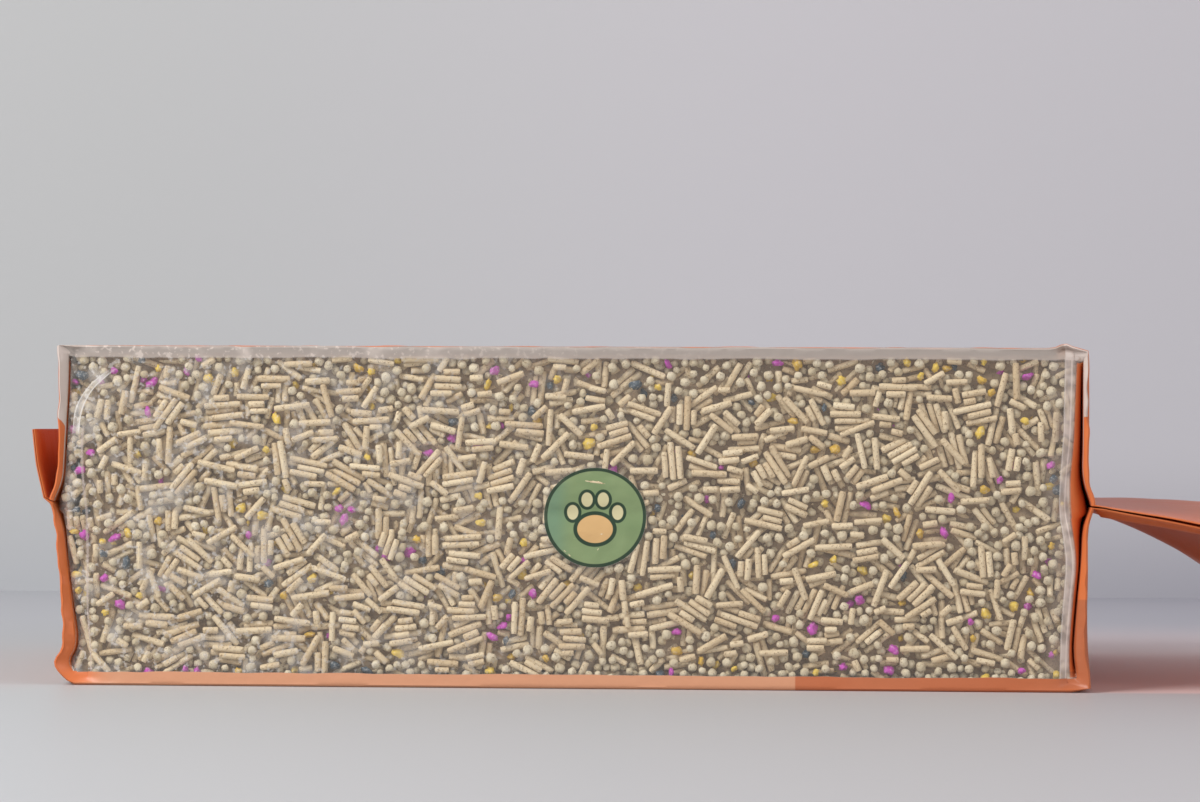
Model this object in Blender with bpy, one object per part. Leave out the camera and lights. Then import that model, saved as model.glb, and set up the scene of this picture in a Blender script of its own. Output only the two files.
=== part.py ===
"""A side-gusset bag of plant litter that lies on its back panel.

The bag is one printed film web: a front panel (up here), a back panel (down here) and a clear gusset
down each side, with a crease along its middle. At each end both gussets tuck in between the panels,
and all the layers are sealed into a fin. The bottom end's fin is folded up. The top end's fin sticks
out and hangs down a little. The litter fills the film, and its grains stand out at both windows.

Units are metres. +X runs from the bag's bottom end to its top end, +Z is up, and the origin is the
middle of the underside that the bag lies on.
"""

import math
import random

import bmesh
import bpy
from mathutils import Matrix, Vector

# Body of the bag
window_length = 0.284
panel_width = 0.200
gusset_height = 0.0975
edge_fold_radius = 0.0012
film_wall = 0.0004

# Crease along each gusset, a little above its middle
crease_above_middle = 0.00125
crease_height = gusset_height / 2 + crease_above_middle
crease_depth = 0.0010

# Folded ends: the end panels meet at the seal, and the gussets tuck in behind them
seal_above_middle = 0.00375
seal_height = gusset_height / 2 + seal_above_middle
end_reach = 0.0050
seal_reach = 0.0022
double_film = 0.0009
ear_reach = 0.0050
ear_lift = 0.0030
ear_width = 0.0120

# Fins, each with a groove between its two films along the side edges
fin_thickness = 0.0014
fin_groove_depth = 0.0030
bottom_fin_length = 0.0215
bottom_fin_bend_radius = 0.0015
bottom_fin_bend = math.radians(77)
top_fin_length = 0.0720

# How far the top fin's tip hangs down in its middle, and how much more at each side edge
middle_sag = 0.0030
near_edge_sag = 0.0119
far_edge_sag = 0.0330

# Vent pinholes in the front panel, near the top end
vent_diameter = 0.0010
vent_count = 3
vent_spacing = 0.0200
vent_from_end = 0.0250

# Litter
fill_gap = 0.0003
grain_relief = 0.0009
rod_diameter = 0.0020
rod_shortest = 0.0060
rod_longest = 0.0110
ball_diameter = 0.0028
grain_spacing = 0.0004
rods_per_window = 126
balls_per_window = 45
grain_seed = 11

# How finely the folds are divided
tuck_steps = 6
panel_columns = 3
top_fin_rings = 6
bottom_fin_rings = 4

half_width = panel_width / 2
half_length = window_length / 2
tuck_depth = gusset_height / 2
NEAR, FAR = -1, 1
BOTTOM_END, TOP_END = -1, 1
UPPER, LOWER = 1, -1


def panel_offsets(widest, inner_column):
    """Distances from the panel's middle line to its columns of points, ending at its side edge."""
    columns = [inner_column * index / panel_columns for index in range(panel_columns + 1)]
    return columns + [widest]


def panel_height(half, inset):
    """Height of the flat front or back panel, moved into the bag by inset."""
    return gusset_height - inset if half == UPPER else inset


def gusset_point_height(half, share, middle):
    """Height at a share of the way from a long edge to the gusset's middle line."""
    edge = panel_height(half, edge_fold_radius)
    return edge + share * (middle - edge)


def end_panel_height(share, half):
    """Height on an end panel, at a share of the way from its fold to the seal."""
    fold = panel_height(half, edge_fold_radius)
    return fold + share * (seal_height - fold)


def end_panel_reach(share):
    """How far the end panel lies beyond the window's end crease, at that share of its way."""
    return end_reach + seal_reach * share**4


def body_quarter(x, half, inset=0.0, recess=0.0):
    """Points from the panel's middle line over the long edge to the gusset's crease."""
    radius = edge_fold_radius
    height = panel_height(half, inset)
    side = half_width - inset
    round_share = 1 - math.sqrt(0.5)
    points = [
        Vector((x, -y, height))
        for y in panel_offsets(side - radius, half_width - ear_width)
    ]
    points.append(Vector((x, -(side - radius * round_share), height - half * radius * round_share)))
    for step in range(tuck_steps + 1):
        share = step / tuck_steps
        drawn_in = crease_depth if step == tuck_steps else 0.0
        z = gusset_point_height(half, share, crease_height)
        z = min(z, height - radius) if half == UPPER else max(z, height + radius)
        points.append(Vector((x, -(side - recess - drawn_in), z)))
    return points


def tuck_reach(station, step):
    """How far the tucked gusset lies beyond the end crease. It meets the end panel on the diagonal."""
    outer = end_panel_reach(station / tuck_steps) - double_film
    return outer * station / step if step > station else outer


def end_quarter(station, half, ear=Vector((0, 0, 0))):
    """Points at one height of an end face, for an end that faces +X and starts at x = 0.

    They run over the end panel to its side edge, and back in along the gusset that is tucked
    behind it, as far as the diagonal fold. From there they go along the gusset's other layer to the
    crease, whose depth behind the side edge is the same as the way down the end panel. The ear is
    how far the side edge flares out.
    """
    share = station / tuck_steps
    reach = end_panel_reach(share)
    at_seal = station == tuck_steps
    panel_z = seal_height + half * fin_thickness / 2 if at_seal else end_panel_height(share, half)
    layer_z = seal_height + half * fin_thickness / 6 if at_seal else panel_z
    depth = tuck_depth * share
    middle = crease_height + share * (seal_height - crease_height)
    offsets = panel_offsets(half_width - double_film / 2, half_width - ear_width)
    points = [Vector((reach, -y, panel_z)) for y in offsets]
    points.append(Vector((reach - double_film / 2, -half_width, (panel_z + layer_z) / 2)))
    for step in range(tuck_steps + 1):
        step_share = step / tuck_steps
        if step <= station:
            inward = max(tuck_depth * step_share, double_film / 2)
            z = layer_z if step < tuck_steps else seal_height
        else:
            inward = depth + (crease_depth if step == tuck_steps else 0.0) * (1 - share)
            z = gusset_point_height(half, step_share, middle)
        points.append(Vector((tuck_reach(station, step), -(half_width - inward), z)))
    side_edge = len(offsets) - 1
    for point in points[side_edge : side_edge + 3]:
        point += ear
    return points


def fold_quarter(half):
    """Points just before an end face, where the panel is still flat and the fold starts."""
    points = end_quarter(0, half)
    for point in points[: panel_columns + 2]:
        point.x -= edge_fold_radius
        point.z = panel_height(half, 0.0)
    return points


def fin_quarter(x, z, angle, half):
    """Points of one side of a fin's section, with half of the groove in its side edge."""
    normal = Vector((-math.sin(angle), 0, math.cos(angle))) * half
    middle = Vector((x, 0, z))
    offsets = panel_offsets(half_width - double_film / 2, half_width - ear_width)
    points = [middle + normal * fin_thickness / 2 - Vector((0, y, 0)) for y in offsets]
    points.append(middle + normal * fin_thickness / 3 - Vector((0, half_width, 0)))
    for step in range(tuck_steps + 1):
        share = step / tuck_steps
        inward = half_width - fin_groove_depth * share
        points.append(middle + normal * fin_thickness / 6 * (1 - share) - Vector((0, inward, 0)))
    return points


def ring(upper, lower):
    """A closed ring from the near upper and near lower quarter, mirrored to the far side."""
    near = upper + lower[-2::-1]
    far = [Vector((point.x, -point.y, point.z)) for point in near[-2:0:-1]]
    return near + far


def placed(points, end, x):
    """The points of an end, turned to face that end and moved to it."""
    return [Vector((end * (x + point.x), point.y, point.z)) for point in points]


def fin_ring(x, z, angle):
    """A whole section of a fin that leans by an angle."""
    return ring(fin_quarter(x, z, angle, UPPER), fin_quarter(x, z, angle, LOWER))


def bottom_fin():
    """Rings of the bottom fin: it bends up sharply at the seal, and is straight from there."""
    arc = bottom_fin_bend_radius * bottom_fin_bend
    bend_rings = bottom_fin_rings - 1
    places = [arc * (index + 1) / bend_rings for index in range(bend_rings)] + [bottom_fin_length]
    rings = []
    for place in places:
        angle = min(place, arc) / bottom_fin_bend_radius
        straight = place - min(place, arc)
        x = bottom_fin_bend_radius * math.sin(angle) + straight * math.cos(angle)
        z = bottom_fin_bend_radius * (1 - math.cos(angle)) + straight * math.sin(angle)
        rings.append(fin_ring(end_panel_reach(1) + x, seal_height + z, angle))
    return rings


def top_fin():
    """Rings of the top fin: it sticks out, and its side edges hang down more than its middle."""
    rings = []
    for index in range(top_fin_rings):
        share = (index + 1) / top_fin_rings
        points = fin_ring(end_panel_reach(1) + share * top_fin_length, seal_height, 0.0)
        for point in points:
            edge_share = (point.y / half_width) ** 2
            curl = near_edge_sag * share if point.y < 0 else far_edge_sag * (share + 4 * share**2) / 5
            point.z -= middle_sag * share**2 + edge_share * curl
        rings.append(points)
    return rings


def end_rings(end, fin):
    """The film's outer rings at one end, from the body to the tip of the fin."""
    ear = Vector((ear_reach, 0, ear_lift))
    rings = [ring(fold_quarter(UPPER), fold_quarter(LOWER))]
    rings.append(ring(end_quarter(0, UPPER), end_quarter(0, LOWER, ear)))
    for station in range(1, tuck_steps + 1):
        rings.append(ring(end_quarter(station, UPPER), end_quarter(station, LOWER)))
    return [placed(points, end, half_length) for points in rings + fin]


def hollow_end_quarter(station, half, inset):
    """Points of the space inside an end face: it lies between the two tucked gussets only."""
    last = station == tuck_steps
    share = station / tuck_steps
    reach = end_panel_reach(min(share, 1 - 1 / tuck_steps)) - inset
    panel_z = end_panel_height(share, half)
    if station == 0:
        panel_z = panel_height(half, inset)
    if last:
        panel_z = seal_height + half * end_reach / 2
    side = half_width - tuck_depth * share - inset
    middle = crease_height + share * (seal_height - crease_height)
    widest = side - edge_fold_radius
    points = [Vector((reach, -y, panel_z)) for y in panel_offsets(widest, widest - ear_width)]
    gusset_x = reach if last else tuck_reach(station, station) - inset
    edge_z = panel_z - half * edge_fold_radius
    round_share = 1 - math.sqrt(0.5)
    corner_z = panel_z - half * edge_fold_radius * round_share
    points.append(Vector((gusset_x, -(side - edge_fold_radius * round_share), corner_z)))
    for step in range(tuck_steps + 1):
        step_share = step / tuck_steps
        layer = station + (tuck_steps - station) * step_share
        x = reach if last else (tuck_reach(station, layer) - inset)
        drawn_in = crease_depth * (1 - share) if step == tuck_steps else 0.0
        points.append(Vector((x, -(side - drawn_in), edge_z + step_share * (middle - edge_z))))
    return points


def hollow_rings(inset, recess=0.0):
    """Rings around the space that the film encloses, inset from the film's outer face."""
    ends = {}
    for end in (BOTTOM_END, TOP_END):
        ends[end] = [
            placed(
                ring(
                    hollow_end_quarter(station, UPPER, inset),
                    hollow_end_quarter(station, LOWER, inset),
                ),
                end,
                half_length,
            )
            for station in range(tuck_steps + 1)
        ]
    middle = [
        ring(body_quarter(x, UPPER, inset, recess), body_quarter(x, LOWER, inset, recess))
        for x in (-half_length + ear_width, 0, half_length - ear_width)
    ]
    return ends[BOTTOM_END][::-1] + middle + ends[TOP_END]


def film_rings():
    """Rings around the outside of the whole bag, from the bottom fin's tip to the top fin's."""
    middle = [
        ring(body_quarter(x, UPPER), body_quarter(x, LOWER))
        for x in (-half_length + ear_width, 0, half_length - ear_width)
    ]
    return end_rings(BOTTOM_END, bottom_fin())[::-1] + middle + end_rings(TOP_END, top_fin())


def loft(rings):
    """A closed mesh through the rings, with each four-sided cell cut along its longer diagonal.

    Where a gusset turns back on itself, the longer diagonal is the fold.
    """
    mesh = bmesh.new()
    rows = [[mesh.verts.new(point) for point in points] for points in rings]
    for row, following in zip(rows, rows[1:]):
        for index in range(len(row)):
            a, b = row[index - 1], row[index]
            c, d = following[index], following[index - 1]
            if (a.co - c.co).length > (b.co - d.co).length:
                mesh.faces.new((a, b, c))
                mesh.faces.new((a, c, d))
            else:
                mesh.faces.new((a, b, d))
                mesh.faces.new((b, c, d))
    mesh.faces.new(rows[0])
    mesh.faces.new(rows[-1])
    bmesh.ops.recalc_face_normals(mesh, faces=mesh.faces)
    return mesh


def add_object(name, mesh):
    """A mesh object made from a bmesh."""
    data = bpy.data.meshes.new(name)
    mesh.to_mesh(data)
    mesh.free()
    new_object = bpy.data.objects.new(name, data)
    bpy.context.scene.collection.objects.link(new_object)
    return new_object


def hide_helper(helper):
    """Marks an object as a cutter or tool, so that it is no part of the model."""
    helper.hide_render = True
    helper.display_type = "WIRE"


def add_boolean(target, helper, operation):
    """An exact Boolean of the target with a helper object."""
    modifier = target.modifiers.new(helper.name, "BOOLEAN")
    modifier.operation = operation
    modifier.solver = "EXACT"
    modifier.object = helper
    hide_helper(helper)
    return modifier


def add_material(target, color, roughness):
    """A plain Principled material for one object."""
    material = bpy.data.materials.new(target.name)
    material.use_nodes = True
    shader = material.node_tree.nodes["Principled BSDF"]
    shader.inputs["Base Color"].default_value = (*color, 1)
    shader.inputs["Roughness"].default_value = roughness
    shader.inputs["Metallic"].default_value = 0
    target.data.materials.append(material)


def vent_cutters():
    """Round pins through the front panel, near the top end."""
    mesh = bmesh.new()
    x = half_length - vent_from_end
    for index in range(vent_count):
        y = (index - (vent_count - 1) / 2) * vent_spacing
        place = Matrix.Translation((x, y, gusset_height - film_wall / 2))
        bmesh.ops.create_cone(
            mesh,
            cap_ends=True,
            segments=8,
            radius1=vent_diameter / 2,
            radius2=vent_diameter / 2,
            depth=film_wall + fill_gap,
            matrix=place,
        )
    return add_object("vent_cutters", mesh)


def make_film_bag():
    """The film: its outside less the space for the litter, with pinholes in the front panel."""
    bag = add_object("film_bag", loft(film_rings()))
    add_boolean(bag, add_object("film_hollow", loft(hollow_rings(film_wall))), "DIFFERENCE")
    add_boolean(bag, vent_cutters(), "DIFFERENCE")
    add_material(bag, (0.72, 0.26, 0.08), 0.42)
    return bag


def segment_distance(first, second):
    """Smallest distance between two straight stretches in a plane, each a pair of points."""
    def to_point(point, start, end):
        along = end - start
        share = 0.0 if along.length == 0 else (point - start).dot(along) / along.length_squared
        return (start + along * min(max(share, 0), 1) - point).length

    def crosses():
        sides = [
            (end - start).cross(point - start) > 0
            for start, end, others in ((*first, second), (*second, first))
            for point in others
        ]
        return sides[0] != sides[1] and sides[2] != sides[3]

    if first[0] != first[1] and second[0] != second[1] and crosses():
        return 0.0
    return min(
        min(to_point(point, *second) for point in first),
        min(to_point(point, *first) for point in second),
    )


def scatter_grains(chooser):
    """Grains on one window, as (start, end, radius) in its plane, that keep clear of each other."""
    margin = rod_diameter + edge_fold_radius
    grains = []
    wanted = [("rod", rods_per_window), ("ball", balls_per_window)]
    for kind, count in wanted:
        placed_count = 0
        for _ in range(count * 60):
            if placed_count == count:
                break
            length = chooser.uniform(rod_shortest, rod_longest) if kind == "rod" else 0.0
            radius = rod_diameter / 2 if kind == "rod" else ball_diameter / 2
            angle = chooser.uniform(0, math.pi)
            along = Vector((math.cos(angle), math.sin(angle))) * length / 2
            room_x = half_length - margin - abs(along.x) - radius
            room_z = gusset_height / 2 - margin - abs(along.y) - radius
            middle = Vector(
                (
                    chooser.uniform(-room_x, room_x),
                    gusset_height / 2 + chooser.uniform(-room_z, room_z),
                )
            )
            ends = (middle - along, middle + along)
            if all(
                segment_distance(ends, (start, end)) > radius + other + grain_spacing
                for start, end, other in grains
            ):
                grains.append((*ends, radius))
                placed_count += 1
    return grains


def grain_depth(start, end, radius):
    """How far a grain's middle lies behind the window's outer face, clear of the crease."""
    crease_band = (gusset_height - crease_height) / tuck_steps
    nearest = min(abs(start.y - crease_height), abs(end.y - crease_height))
    if (start.y - crease_height) * (end.y - crease_height) < 0:
        nearest = 0.0
    drawn_in = crease_depth * max(0.0, 1 - max(nearest - radius, 0.0) / crease_band)
    return film_wall + fill_gap + drawn_in + radius


def add_grain(mesh, start, end, radius, side):
    """One rod or ball, lying against the inside of the near or far window."""
    y = side * (half_width - grain_depth(start, end, radius))
    middle = (start + end) / 2
    place = Matrix.Translation((middle.x, y, middle.y))
    if start == end:
        bmesh.ops.create_icosphere(mesh, subdivisions=1, radius=radius, matrix=place)
        return
    along = end - start
    turn = Matrix.Rotation(-math.atan2(along.y, along.x), 4, "Y") @ Matrix.Rotation(math.pi / 2, 4, "Y")
    bmesh.ops.create_cone(
        mesh,
        cap_ends=True,
        segments=6,
        radius1=radius,
        radius2=radius,
        depth=along.length,
        matrix=place @ turn,
    )


def make_litter_fill():
    """The litter: a packed block that fills the film, with grains standing out at both windows."""
    inset = film_wall + fill_gap
    fill = add_object("litter_fill", loft(hollow_rings(inset, grain_relief)))
    chooser = random.Random(grain_seed)
    for side, name in ((NEAR, "near_grains"), (FAR, "far_grains")):
        mesh = bmesh.new()
        for start, end, radius in scatter_grains(chooser):
            add_grain(mesh, start, end, radius, side)
        add_boolean(fill, add_object(name, mesh), "UNION")
    add_material(fill, (0.55, 0.47, 0.32), 0.9)
    return fill


def main():
    for old in list(bpy.data.objects):
        bpy.data.objects.remove(old, do_unlink=True)
    make_film_bag()
    make_litter_fill()


main()
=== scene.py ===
# %% [markdown]
# # A bag of cat litter, lying on its back
#
# The real object is one printed plastic web, folded into a brick with a clear gusset down each
# side, and filled tight with small pressed grains. What makes it look real is the packing of
# the grains behind the clear film, the way the film is tucked in at each end, and the sealed fins.
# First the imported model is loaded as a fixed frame. Everything here is in metres, like the frame.

# %% Load the frame
import math
from functools import partial, reduce

import bpy
import numpy as np
from mathutils import Matrix, Vector


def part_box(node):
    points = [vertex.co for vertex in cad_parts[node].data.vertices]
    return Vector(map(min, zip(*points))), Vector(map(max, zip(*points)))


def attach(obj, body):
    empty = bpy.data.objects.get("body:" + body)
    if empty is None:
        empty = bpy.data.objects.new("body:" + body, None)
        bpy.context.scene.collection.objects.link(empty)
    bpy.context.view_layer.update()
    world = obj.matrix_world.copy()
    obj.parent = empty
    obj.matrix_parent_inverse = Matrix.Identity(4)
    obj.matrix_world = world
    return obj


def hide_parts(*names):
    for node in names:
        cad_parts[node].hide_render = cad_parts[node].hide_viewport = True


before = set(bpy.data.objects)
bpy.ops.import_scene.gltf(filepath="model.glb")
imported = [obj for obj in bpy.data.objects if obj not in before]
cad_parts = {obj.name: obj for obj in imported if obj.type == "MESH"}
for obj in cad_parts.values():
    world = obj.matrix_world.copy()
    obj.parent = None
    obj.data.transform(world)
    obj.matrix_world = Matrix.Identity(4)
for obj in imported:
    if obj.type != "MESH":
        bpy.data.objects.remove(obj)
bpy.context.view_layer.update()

# %% [markdown]
# ## Sizes
#
# The film's overall sizes come from the frame. The ones that the frame doesn't tell apart, such
# as where the end creases are, repeat the part's own named values.
# The sags say how far the top fin's free edge hangs: in its middle, and at its near and far sides.

# %% Sizes of the bag
_, film_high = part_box("film_bag")
bag_height = film_high[2]
half_width = film_high[1]
half_length = 0.142
crease_height = 0.050
crease_depth = 0.0006
seal_height = 0.0525
end_reach = 0.0055
double_film = 0.0008
tuck_depth = bag_height / 2
bottom_fin_length = 0.0215
top_fin_length = 0.0720
middle_sag, near_edge_sag, far_edge_sag = 0.0030, 0.0126, 0.0385
edge_radius = 0.0013
BOTTOM, TOP = -1, 1
NEAR, FAR = -1, 1
UPPER, LOWER = 1, -1
print(f"bag {2 * half_length:.3f} long, {2 * half_width:.3f} wide, {bag_height:.4f} high")

# %% [markdown]
# ## Small helpers
#
# Operators act on whatever is selected, so every new piece starts with nothing selected. Its
# mesh keeps its place and its object stays at the origin, as the frame's own nodes do.

# %% Helpers for objects
def deselect_all():
    for selected in list(bpy.context.selected_objects):
        selected.select_set(False)
    bpy.context.view_layer.objects.active = None


def named(name):
    """Gives the object that an operator just added its name, and its mesh the same."""
    added = bpy.context.object
    added.name = name
    added.data.name = name
    return added


def apply_place(piece):
    deselect_all()
    piece.select_set(True)
    bpy.context.view_layer.objects.active = piece
    bpy.ops.object.transform_apply(location=True, rotation=True, scale=True)


def mesh_points(piece):
    points = np.empty(len(piece.data.vertices) * 3)
    piece.data.vertices.foreach_get("co", points)
    return points.reshape(-1, 3)


def mesh_faces(piece):
    return [tuple(face.vertices) for face in piece.data.polygons]


print("object helpers ready")

# %% [markdown]
# ## Shader helpers
#
# A material here is written as Python sums. The class below wraps one socket of a node tree, and
# each operator adds the Math node that does the sum, so 1 - mask works as it reads.

# %% Shader maths
class Field:
    """One value that changes over a surface, as a socket that can be added, multiplied and so on."""

    def __init__(self, tree, socket):
        self.tree = tree
        self.socket = socket

    def math(self, operation, *others, clamp=False):
        node = self.tree.nodes.new("ShaderNodeMath")
        node.operation = operation
        node.use_clamp = clamp
        self.tree.links.new(self.socket, node.inputs[0])
        for slot, other in enumerate(others, 1):
            if isinstance(other, Field):
                self.tree.links.new(other.socket, node.inputs[slot])
            else:
                node.inputs[slot].default_value = other
        return Field(self.tree, node.outputs[0])

    def __add__(self, other):
        return self.math("ADD", other)

    __radd__ = __add__

    def __sub__(self, other):
        return self.math("SUBTRACT", other)

    def __rsub__(self, other):
        return self.math("MULTIPLY", -1.0) + other

    def __mul__(self, other):
        return self.math("MULTIPLY", other)

    __rmul__ = __mul__

    def __truediv__(self, other):
        return self.math("DIVIDE", other)

    def power(self, exponent):
        return self.math("POWER", exponent)

    def above(self, edge, soft):
        """0 below edge, 1 above edge + soft, smooth between."""
        return self.step(edge, edge + soft, 0.0, 1.0)

    def below(self, edge, soft):
        return self.step(edge - soft, edge, 1.0, 0.0)

    def step(self, low, high, at_low, at_high):
        node = self.tree.nodes.new("ShaderNodeMapRange")
        node.interpolation_type = "SMOOTHSTEP"
        self.tree.links.new(self.socket, node.inputs["Value"])
        node.inputs["From Min"].default_value = low
        node.inputs["From Max"].default_value = high
        node.inputs["To Min"].default_value = at_low
        node.inputs["To Max"].default_value = at_high
        return Field(self.tree, node.outputs["Result"])

    def either(self, other):
        return self.math("MAXIMUM", other)

    def least(self, other):
        return self.math("MINIMUM", other)


class Finish:
    """A material under construction, with one method that adds any node."""

    def __init__(self, name):
        self.material = bpy.data.materials.new(name)
        self.material.use_nodes = True
        self.tree = self.material.node_tree
        self.shader = self.tree.nodes["Principled BSDF"]
        self.output = self.tree.nodes["Material Output"]

    def node(self, kind, settings=None, **values):
        added = self.tree.nodes.new(kind)
        for key, value in (settings or {}).items():
            setattr(added, key, value)
        for key, value in values.items():
            socket = added.inputs[key.replace("_", " ")]
            if isinstance(value, Field):
                self.tree.links.new(value.socket, socket)
            else:
                socket.default_value = value
        return added

    def field(self, node, output):
        return Field(self.tree, node.outputs[output])

    def coordinates(self, output):
        return self.field(self.node("ShaderNodeTexCoord"), output)

    def axes(self, vector):
        split = self.node("ShaderNodeSeparateXYZ", Vector=vector)
        return [self.field(split, axis) for axis in "XYZ"]

    def noise(self, vector, scale, detail=2.0, roughness=0.5):
        return self.field(
            self.node("ShaderNodeTexNoise", Vector=vector, Scale=scale, Detail=detail, Roughness=roughness),
            "Fac",
        )

    def mix(self, share, first, second):
        """A colour between first and second."""
        node = self.node("ShaderNodeMix", {"data_type": "RGBA"})
        self.put(share, node.inputs[0])
        self.put(first, node.inputs[6])
        self.put(second, node.inputs[7])
        return Field(self.tree, node.outputs[2])

    def put(self, value, socket):
        if isinstance(value, Field):
            self.tree.links.new(value.socket, socket)
        elif isinstance(value, tuple):
            socket.default_value = (*value, 1.0)
        else:
            socket.default_value = value

    def set(self, name, value):
        self.put(value, self.shader.inputs[name])

    def bump(self, height, strength, distance):
        node = self.node("ShaderNodeBump", Height=height, Strength=strength, Distance=distance)
        self.tree.links.new(node.outputs["Normal"], self.shader.inputs["Normal"])

    def see_through(self, cover):
        """Lets what lies behind show, except where cover is 1."""
        clear = self.node("ShaderNodeBsdfTransparent")
        mixed = self.node("ShaderNodeMixShader", Fac=cover)
        self.tree.links.new(clear.outputs[0], mixed.inputs[1])
        self.tree.links.new(self.shader.outputs[0], mixed.inputs[2])
        self.tree.links.new(mixed.outputs[0], self.output.inputs["Surface"])


def linear(red, green, blue):
    """A colour given as the 0 to 255 values seen on a screen, as the renderer's linear values."""
    shares = [value / 255 for value in (red, green, blue)]
    return tuple(s / 12.92 if s <= 0.04045 else ((s + 0.055) / 1.055) ** 2.4 for s in shares)


print("shader helpers ready")

# %% [markdown]
# ## The window's own shape
#
# The clear gusset is nearly flat. It turns in softly at its ends, rounds over at the long edges
# and is drawn in a little along its middle crease. Both the film and the grains behind it read
# the same functions, so the grains always lie just inside the film.
#
# The outline of each end panel's side edge, seen from the window's side, is drawn as a short
# table of heights and reaches, taken from life: it bows, pinches in near the seal and flares
# into an ear at the floor. The side edge is no sharp fold but a rounded lip.

# %% Shape of a window and of the end panels' side edges
corner_softness = 0.0028
long_edge_softness = 0.0016
crease_width = 0.0025
crease_wander, crease_wander_rate = 0.0006, 60
mouth_depth = {BOTTOM: 0.0015, TOP: 0.0048}
least_tuck = 0.003
table_smoothing = 0.003

# Width of the rounded lip at an end panel's side edge, by height
lip_width = {
    (BOTTOM, LOWER): ((0.004, 0.0034), (0.012, 0.0030), (0.024, 0.0020), (0.035, 0.0016), (0.0525, 0.0012)),
    (BOTTOM, UPPER): ((0.0525, 0.0010), (0.060, 0.0008), (0.075, 0.0012), (0.086, 0.0018), (0.096, 0.0020)),
    (TOP, LOWER): ((0.0, 0.0030), (0.014, 0.0027), (0.025, 0.0020), (0.0366, 0.0011), (0.045, 0.0007)),
    (TOP, UPPER): ((0.0525, 0.0006), (0.096, 0.0008)),
}

# How far the end crease stands beyond its nominal place, by height, at each end
end_crease = {
    BOTTOM: ((0.005, -0.0022), (0.012, -0.0019), (0.024, 0.0004), (0.035, 0.0021), (0.058, 0.0034),
             (0.070, 0.0026), (0.086, 0.0016), (0.095, 0.0020)),
    TOP: ((0.0, 0.0002), (0.014, 0.0005), (0.025, 0.0014), (0.0366, 0.0026), (0.044, 0.0014),
          (0.051, -0.0002), (0.060, 0.0001), (0.071, 0.0013), (0.090, 0.0019)),
}

# How far an end panel's side edge stands beyond the nominal crease
end_edge = {
    (BOTTOM, LOWER): ((0.0, -0.0010), (0.0012, 0.0005), (0.0048, 0.0082), (0.0075, 0.0050), (0.012, 0.0032),
                      (0.018, 0.0034), (0.035, 0.0049), (0.046, 0.0056), (0.0525, 0.0077)),
    (BOTTOM, UPPER): ((0.0525, 0.0077), (0.058, 0.0053), (0.073, 0.0050), (0.096, 0.0050)),
    (TOP, LOWER): ((0.0, 0.0050), (0.003, 0.0056), (0.011, 0.0042), (0.024, 0.0044), (0.0366, 0.0046),
                   (0.046, 0.0045), (0.050, 0.0054), (0.0525, 0.0069)),
    (TOP, UPPER): ((0.0525, 0.0069), (0.056, 0.0056), (0.061, 0.0044), (0.0695, 0.0047), (0.096, 0.0048)),
}


def along(table, where):
    """Reads a short table of (place, value) pairs, smoothly."""
    places, values = zip(*table)
    reads = [np.interp(where + table_smoothing * shift, places, values) for shift in (-1, -0.5, 0, 0.5, 1)]
    return sum(reads) / len(reads)


def soft_ramp(value, softness):
    """0 well below zero and equal to value well above it, with a round turn between."""
    return (value + np.sqrt(value * value + softness * softness)) / 2


def half_of(z):
    return UPPER if z > crease_height else LOWER


def pocket_reach(end, z):
    """Where the gusset meets the end panel inside the tuck, beyond the nominal crease."""
    half = half_of(z)
    return float(along(end_edge[(end, half)], z) - along(lip_width[(end, half)], z)) - double_film


def tuck_curve(end, z, into):
    """Reach and depth of the gusset's inner layer, at web distances past its end crease.

    It bulges towards the end panel and closes the pocket's mouth, at the bottom end sooner.
    """
    inward = min(max(min(z, bag_height - z), least_tuck), tuck_depth)
    past = np.clip(into, 0, inward)
    share = past / inward
    share = 1 - np.exp(-past / mouth_depth[end]) * (1 - share)
    crease = along(end_crease[end], z) - soft_ramp(-into, corner_softness)
    return crease * (1 - share) + pocket_reach(end, z) * share, soft_ramp(into, corner_softness)


# Web distances past an end crease at which the tuck's curve is read
curve_steps = np.linspace(-0.030, 0.020, 201)


def window_depth(x, z):
    """How far the film lies behind the window's flat plane at one height, without its small dips."""
    depth = np.zeros(len(x))
    for end in (BOTTOM, TOP):
        reach, curve_depth = tuck_curve(end, z, curve_steps)
        depth += np.interp(end * x - half_length, reach, curve_depth)
    depth += soft_ramp(edge_radius - z, long_edge_softness)
    depth += soft_ramp(z - bag_height + edge_radius, long_edge_softness)
    crease = (z - crease_height - crease_wander * np.sin(x * crease_wander_rate)) / crease_width
    return depth + crease_depth * np.exp(-crease * crease)


print("window depth at its middle crease:", round(float(window_depth(np.array([0.0]), 0.05)[0]), 5))

# %% [markdown]
# ## Packing the litter
#
# Grains in a bag settle until each one rests on others. The same is done here, sideways: each
# grain slides towards the film until it touches the film or grains that are already there. A
# depth map of the window remembers how deep the grains reach so far. For every new grain a few
# places are tried, and the one that lets it come nearest to the film is kept, which packs tight.

# %% Depth map and grain footprints
cell = 0.00035
film_clearance = 0.00030
bed_low_x, bed_high_x = -half_length - 0.0050, half_length + 0.0030
bed_low_z, bed_high_z = 0.0022, bag_height - 0.0026
bed_x = np.arange(bed_low_x, bed_high_x, cell)
bed_z = np.arange(bed_low_z, bed_high_z, cell)
bed_depth_limit = 0.0042

# Where the film lies deeper than this, it is the inside of an end's pocket and gets no grains
pocket_start = 0.006


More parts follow.
